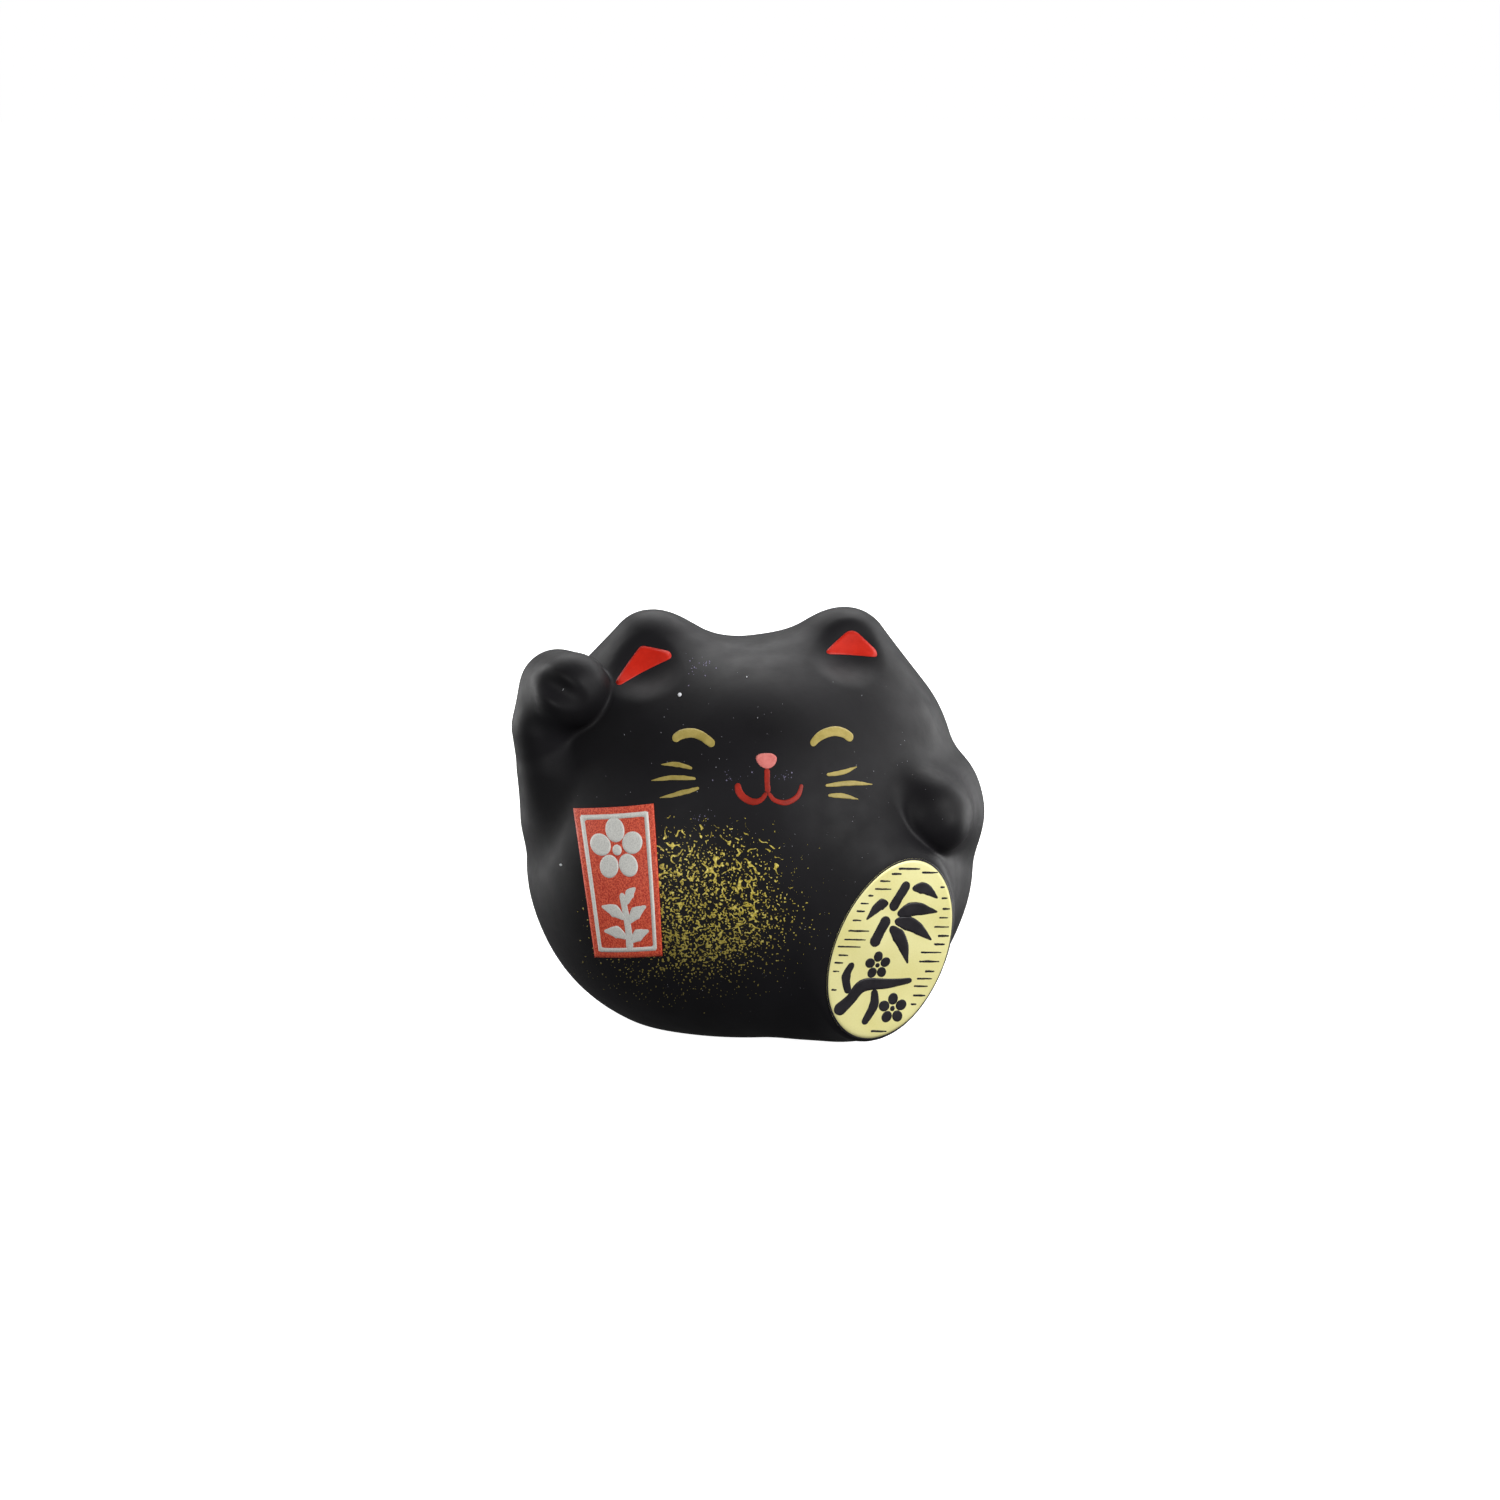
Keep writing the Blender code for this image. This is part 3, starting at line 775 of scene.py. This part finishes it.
def foil_dashes(rng, motifs):
    """Short chased lines in level rows down both sides of the foil, clear of the motifs."""
    inked = np.concatenate([flat for flat, _, _ in motifs])
    way = np.array([math.cos(DASH_TURN), math.sin(DASH_TURN)])
    lines = []
    for row in range(-9, 10):
        for side in (-1, 1):
            b = row * DASH_STEP + 0.25 * side + rng.uniform(-0.12, 0.12)
            beside = inked[np.abs(inked[:, 1] - b) < 0.9, 0] * side
            outer = foil_reach(b) - rng.uniform(0.45, 1.2)
            room = outer - beside.max(initial=-0.5) - 0.55
            length = min(rng.uniform(1.4, 3.4), room)
            thick = rng.uniform(0.2, 0.32)
            if length > 0.6:
                middle = np.array([side * (outer - length / 2), b])
                ends = [middle - way * length / 2, middle, middle + way * length / 2]
                lines.append(stroke(rng, ends, (thick, thick, thick * 0.6), count=14, ragged=0.15))
    return lines


def press_foil(foil, ink):
    rng = np.random.default_rng(8)
    size = (2 * FOIL_HALF_WIDTH, 2 * FOIL_HALF_HEIGHT)
    rim = oval((0, 0), size, count=120)
    koban = piece("koban_foil", [sheet(patch(rim, rings=20), onto_foil, FOIL_LOW, FOIL_HIGH)], foil)
    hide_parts("koban_label")
    printed = partial(sheet, lay=onto_foil, low=FOIL_HIGH + INK_GAP, high=FOIL_HIGH + FOIL_INK)
    outline = ring_of(rim * 0.9995, rim * (1 - OUTLINE_WIDTH / FOIL_HALF_WIDTH))
    piece("koban_outline", [printed(outline)], ink)
    bamboo = [stroke(rng, line, widths) for line, widths in BAMBOO]
    plum = [stroke(rng, line, widths) for line, widths in BRANCH]
    plum += [shape for at, span in PLUM_BLOSSOMS for shape in blossom(at, span, 20)]
    piece("koban_bamboo", [printed(shape) for shape in bamboo], ink)
    piece("koban_plum", [printed(shape) for shape in plum], ink)
    piece("koban_dashes", [printed(line) for line in foil_dashes(rng, bamboo + plum)], ink)


# ---------------------------------------------------------------- wear

CHIPS = (((-25.1, 46.7), 0.42), ((-10.1, 46.1), 0.5), ((-25.7, 23.7), 0.35), ((-1.3, 48.2), 0.16))
SMUDGES = (((-7.2, 49.2), 0.9, 24), ((2.6, 37.0), 0.7, 16), ((-3.6, 36.6), 0.9, 14), ((-7.8, 31.8), 0.8, 12))
CHIP_HIGH, DUST_HIGH = 0.07, 0.03
DUST_TRIES = 210


def wear_and_dust(materials):
    """Chips down to the white ground coat, and specks of dust caught in the paint."""
    rng = np.random.default_rng(11)
    raised = partial(sheet, lay=onto_front, low=SUNK, high=DUST_HIGH, crown=0.7)
    outlines = [oval(at, (size, size * 0.8), 30, count=14) for at, size in CHIPS]
    chips = [sheet(patch(outline, rings=2), onto_front, SUNK, CHIP_HIGH, crown=0.6) for outline in outlines]
    piece("paint_chips", chips, materials["chip"])

    def speck(at, size):
        shape = oval(at, (size, size * rng.uniform(0.4, 1.0)), rng.uniform(0, 180), count=8)
        return raised(patch(shape, rings=1))

    places = [(rng.uniform(-24, 24), rng.uniform(8, 50)) for _ in range(DUST_TRIES)]
    places = [at for at in places if math.hypot(at[0] / 26, (at[1] - 28) / 24) < 0.93]
    piece("dust_specks", [speck(at, rng.uniform(0.06, 0.17)) for at in places], materials["dust"])
    smudges = [
        speck((x + rng.normal(0, spread), z + rng.normal(0, spread * 0.7)), rng.uniform(0.07, 0.24))
        for (x, z), spread, count in SMUDGES
        for _ in range(count)
    ]
    piece("smudges", smudges, materials["smudge"])


def make_pellet(material):
    """The bell's loose ball, rolled by hand from the same clay, where the frame holds it at rest."""
    low, high = (np.array(corner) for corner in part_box("clay_pellet"))
    centre, radius = (low + high) / 2 / MM, (high - low).mean() / 2 / MM - PELLET_ROUGHNESS

    def rolled(p):
        q = p - centre
        dents = np.sin(q[:, 0] * 0.9 + 0.7) * np.sin(q[:, 1] * 1.1) * np.sin(q[:, 2] * 0.8 + 1.9)
        return np.linalg.norm(q, axis=-1) - radius - PELLET_ROUGHNESS * dents

    ball = bmesh.new()
    add_ball(ball, rolled, centre, DRAFT_FINENESS)
    for face in ball.faces:
        face.smooth = True
    mesh = from_bmesh("pellet", ball)
    mesh.transform(Matrix.Scale(MM, 4))
    pellet = link("pellet_ball", mesh, [material])
    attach(pellet, "pellet")
    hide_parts("clay_pellet")


# ---------------------------------------------------------------- materials


class Nodes:
    """A short way to write a material's node tree."""

    def __init__(self, name):
        self.material = bpy.data.materials.new(name)
        self.material.use_nodes = True
        self.tree = self.material.node_tree
        self.shader = self.tree.nodes["Principled BSDF"]
        self.place = self.tree.nodes.new("ShaderNodeTexCoord").outputs["Object"]

    def make(self, kind, settings=(), **inputs):
        node = self.tree.nodes.new("ShaderNode" + kind)
        for key, value in dict(settings).items():
            setattr(node, key, value)
        for key, value in inputs.items():
            self.feed(node.inputs[key.replace("_", " ")], value)
        return node

    def feed(self, socket, value):
        if isinstance(value, bpy.types.NodeSocket):
            self.tree.links.new(value, socket)
        else:
            socket.default_value = value

    def noise(self, size_mm, detail=3.0, roughness=0.5, **inputs):
        """Noise from 0 to 1 whose blobs are about size_mm across."""
        node = self.make("TexNoise", Vector=self.place, Scale=1 / (size_mm * MM), Detail=detail, **inputs)
        node.inputs["Roughness"].default_value = roughness
        return node.outputs["Fac"]

    def ramp(self, value, *stops):
        """A colour ramp over (position, colour) stops; a number stands for a grey."""
        node = self.make("ValToRGB", Fac=value)
        while len(node.color_ramp.elements) < len(stops):
            node.color_ramp.elements.new(0.5)
        for element, (position, colour) in zip(node.color_ramp.elements, stops):
            element.position = position
            element.color = colour if isinstance(colour, tuple) else (colour, colour, colour, 1)
        return node.outputs["Color"]

    def mix(self, factor, first, second, blend_type="MIX"):
        node = self.make("Mix", dict(data_type="RGBA", blend_type=blend_type))
        self.feed(node.inputs["Factor"], factor)
        self.feed(node.inputs["A"], first)
        self.feed(node.inputs["B"], second)
        return node.outputs[2]

    def bump(self, *layers):
        """Stacks (height, depth_mm) layers into one normal."""
        normal = None
        for height, depth in layers:
            node = self.make("Bump", Height=height, Distance=depth * MM, Strength=1.0)
            if normal:
                self.feed(node.inputs["Normal"], normal)
            normal = node.outputs["Normal"]
        self.feed(self.shader.inputs["Normal"], normal)

    def set(self, **inputs):
        for key, value in inputs.items():
            self.feed(self.shader.inputs[key.replace("_", " ")], value)
        return self.material


def rgb(red, green, blue):
    """A colour given as it looks on a screen, 0 to 255."""
    linear = [((c / 255 + 0.055) / 1.055) ** 2.4 if c > 10 else c / 255 / 12.92 for c in (red, green, blue)]
    return (*linear, 1.0)


def black_paint():
    """Matt black cold paint over clay: fine grain, faint cloudiness, and specks of dust."""
    n = Nodes("matt_black_paint")
    cloud = n.ramp(n.noise(9.0), (0.3, rgb(17, 16, 18)), (0.7, rgb(23, 22, 25)))
    dust = n.ramp(n.noise(0.55, detail=1.0), (0.79, 0.0), (0.83, 1.0))
    sparse = n.ramp(n.noise(6.0, detail=2.0), (0.5, 0.0), (0.72, 0.8))
    speck = n.mix(1.0, dust, sparse, "MULTIPLY")
    colour = n.mix(speck, cloud, rgb(120, 118, 116))
    rough = n.ramp(n.noise(3.0), (0.3, 0.50), (0.7, 0.60))
    n.bump((n.noise(0.9, detail=2.0), 0.012), (n.noise(0.16, detail=2.0), 0.006))
    return n.set(Base_Color=colour, Roughness=rough, Specular_IOR_Level=0.16)


def bare_clay():
    n = Nodes("bare_clay")
    colour = n.ramp(n.noise(1.4, detail=5.0), (0.3, rgb(158, 116, 88)), (0.7, rgb(186, 145, 112)))
    n.bump((n.noise(0.8, detail=4.0), 0.05), (n.noise(0.2), 0.03))
    return n.set(Base_Color=colour, Roughness=n.ramp(n.noise(0.5), (0.3, 0.82), (0.7, 0.95)))


def paint_of(name, dark, light, rough=(0.4, 0.55), depth=0.015, grain=0.25):
    """Hand-brushed paint: two shades that drift into each other, with faint brush grain."""
    n = Nodes(name)
    drift = n.noise(1.6, detail=3.0)
    fine = n.noise(0.25, detail=2.0)
    slow_colour = n.ramp(drift, (0.3, dark), (0.7, light))
    fine_colour = n.ramp(fine, (0.35, dark), (0.65, light))
    colour = n.mix(grain, slow_colour, fine_colour)
    n.bump((n.noise(0.35, detail=3.0), depth))
    matt = n.ramp(drift, (0.3, rough[0]), (0.7, rough[1]))
    return n.set(Base_Color=colour, Roughness=matt, Specular_IOR_Level=0.25)


DULL_HEIGHT, BRIGHT_HEIGHT = 0.008, 0.021  # metres over the floor


def gold_paint():
    """Sprayed gold: flakes of light and dark yellow with a metallic lift, duller low down."""
    n = Nodes("gold_speckle_paint")
    flakes = n.noise(0.35, detail=2.0)
    colour = n.ramp(flakes, (0.3, rgb(112, 98, 34)), (0.5, rgb(196, 176, 66)), (0.7, rgb(240, 226, 128)))
    height = n.make("SeparateXYZ")
    n.feed(height.inputs[0], n.place)
    upper = n.make("MapRange", Value=height.outputs["Z"], From_Min=DULL_HEIGHT, From_Max=BRIGHT_HEIGHT)
    colour = n.mix(upper.outputs["Result"], rgb(108, 98, 52), colour)
    n.bump((n.noise(0.2), 0.02))
    return n.set(Base_Color=colour, Metallic=n.ramp(flakes, (0.4, 0.15), (0.7, 0.4)), Roughness=0.45)


def printed_paper(name, dark, light, grain_size=0.16):
    """Matt paper with the fine mottle of its print and fibres."""
    n = Nodes(name)
    mottle = n.noise(grain_size, detail=1.5)
    colour = n.ramp(mottle, (0.34, dark), (0.66, light))
    n.bump((n.noise(0.5, detail=4.0), 0.012), (mottle, 0.006))
    return n.set(Base_Color=colour, Roughness=n.ramp(n.noise(2.0), (0.3, 0.55), (0.7, 0.7)))


def foil():
    """Pale gold foil with a satin face."""
    n = Nodes("pale_gold_foil")
    drift = n.noise(6.0, detail=2.0)
    colour = n.ramp(drift, (0.3, rgb(234, 226, 150)), (0.7, rgb(244, 238, 172)))
    colour = n.mix(0.08, colour, n.ramp(n.noise(0.2), (0.3, rgb(190, 180, 110)), (0.7, rgb(255, 252, 210))))
    n.bump((n.noise(1.2, detail=2.0), 0.01))
    return n.set(Base_Color=colour, Metallic=0.12, Roughness=n.ramp(drift, (0.3, 0.34), (0.7, 0.42)))


# ---------------------------------------------------------------- light, floor and camera


def soft_box(name, at, look_at, size, power):
    data = bpy.data.lights.new(name, "AREA")
    data.shape = "RECTANGLE"
    data.size, data.size_y = size
    data.energy = power
    lamp = bpy.data.objects.new(name, data)
    lamp.location = at
    lamp.rotation_euler = (Vector(look_at) - Vector(at)).to_track_quat("-Z", "Y").to_euler()
    bpy.context.scene.collection.objects.link(lamp)


def stage_piece(name, mesh, material):
    """Part of the plain surroundings: seen by the camera, but it throws no light on the cat."""
    obj = link(name, mesh, [material])
    obj.visible_diffuse = False
    obj.visible_glossy = False
    obj.visible_shadow = False


def make_stage():
    n = Nodes("pale_floor")
    away = n.make("VectorMath", dict(operation="LENGTH"))
    n.feed(away.inputs[0], n.place)
    glow = n.ramp(away.outputs["Value"], (0.0, 0.97), (0.4, 1.05))
    pale = n.set(Base_Color=rgb(200, 200, 200), Roughness=0.9, Emission_Color=glow, Emission_Strength=1.0)
    floor = bmesh.new()
    bmesh.ops.create_circle(floor, cap_ends=True, segments=96, radius=FLOOR_RADIUS)
    stage_piece("floor", from_bmesh("floor", floor), pale)
    n = Nodes("pale_backdrop")
    glow = dict(Emission_Color=rgb(255, 255, 255), Emission_Strength=1.0)
    white = n.set(Base_Color=rgb(0, 0, 0), Roughness=1.0, **glow)
    dome = bmesh.new()
    bmesh.ops.create_uvsphere(dome, u_segments=64, v_segments=32, radius=FLOOR_RADIUS)
    bmesh.ops.reverse_faces(dome, faces=dome.faces)
    stage_piece("backdrop", from_bmesh("backdrop", dome), white)


def make_lights():
    world = bpy.data.worlds.new("studio")
    world.use_nodes = True
    shade = world.node_tree.nodes["Background"]
    shade.inputs["Color"].default_value = (1, 1, 1, 1)
    shade.inputs["Strength"].default_value = 0.12
    bpy.context.scene.world = world
    aim = (0, 0, 0.028)
    soft_box("key_light", (0.65, -0.58, 0.42), aim, (0.6, 0.5), 9)
    soft_box("fill_light", (-0.65, -0.8, 0.2), aim, (0.4, 0.4), 4)
    soft_box("top_light", (0.1, 0.56, 0.70), aim, (0.9, 0.45), 7.5)
    soft_box("rim_right", (0.78, 0.42, 0.2), aim, (0.5, 0.9), 9)
    soft_box("rim_left", (-0.7, 0.6, 0.25), aim, (0.4, 0.9), 8)


def make_camera():
    """The photograph's view: a long lens, a little above the cat and to its raised-arm side."""
    data = bpy.data.cameras.new("camera")
    data.sensor_width = 36.0
    data.lens = data.sensor_width * VIEW_DISTANCE / VIEW_WIDTH
    data.clip_start, data.clip_end = 0.01, 50.0
    camera = bpy.data.objects.new("camera", data)
    azimuth, elevation = math.radians(VIEW_AZIMUTH), math.radians(VIEW_ELEVATION)
    level = Vector((math.sin(azimuth), -math.cos(azimuth), 0))
    back = level * math.cos(elevation) + Vector((0, 0, math.sin(elevation)))
    camera.location = MIDDLE + Vector((0, 0, VIEW_HEIGHT)) + back * VIEW_DISTANCE
    camera.rotation_mode = "QUATERNION"
    camera.rotation_quaternion = (-back).to_track_quat("-Z", "Y")
    bpy.context.scene.collection.objects.link(camera)
    bpy.context.scene.camera = camera


# ---------------------------------------------------------------- the scene

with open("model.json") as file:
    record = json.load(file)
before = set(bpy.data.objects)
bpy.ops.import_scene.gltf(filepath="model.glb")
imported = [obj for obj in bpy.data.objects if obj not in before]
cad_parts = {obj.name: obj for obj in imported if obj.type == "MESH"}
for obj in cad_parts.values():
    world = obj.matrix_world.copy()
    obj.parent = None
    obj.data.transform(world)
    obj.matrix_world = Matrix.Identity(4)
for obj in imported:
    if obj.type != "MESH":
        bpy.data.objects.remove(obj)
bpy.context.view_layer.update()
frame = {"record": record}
roll = frame["record"]["behaviour"]["joints"][0]["pos_m"]
MIDDLE = Vector((roll[0], roll[1], 0))

bpy.context.scene.view_settings.view_transform = "Standard"
make_camera()
make_lights()
make_stage()
black, clay = black_paint(), bare_clay()
paints = dict(
    straw=paint_of("straw_gold_paint", rgb(146, 130, 62), rgb(178, 160, 90)),
    red=paint_of("ear_red_paint", rgb(182, 26, 8), rgb(202, 36, 15)),
    deep_red=paint_of("mouth_red_paint", rgb(118, 26, 12), rgb(172, 38, 22)),
    pink=paint_of("nose_pink_paint", rgb(196, 98, 94), rgb(222, 134, 126)),
)
worn = dict(
    chip=paint_of("white_ground_coat", rgb(196, 198, 202), rgb(228, 230, 232), rough=(0.7, 0.8)),
    smudge=paint_of("bluish_smudge", rgb(84, 80, 108), rgb(140, 134, 158), rough=(0.8, 0.9)),
    dust=paint_of("caught_dust", rgb(92, 92, 98), rgb(150, 150, 156), rough=(0.8, 0.9)),
)
red_paper = printed_paper("red_print_paper", rgb(184, 38, 20), rgb(238, 104, 70), grain_size=0.2)
white_ink = printed_paper("white_print", rgb(206, 206, 200), rgb(230, 230, 224))
black_ink = paint_of("black_foil_ink", rgb(30, 28, 32), rgb(42, 40, 44), rough=(0.35, 0.45), depth=0.004)
make_shells([black, clay])
make_pellet(clay)
paint_face(paints)
spray_speckle(gold_paint())
paste_label(red_paper, white_ink)
press_foil(foil(), black_ink)
wear_and_dust(worn)
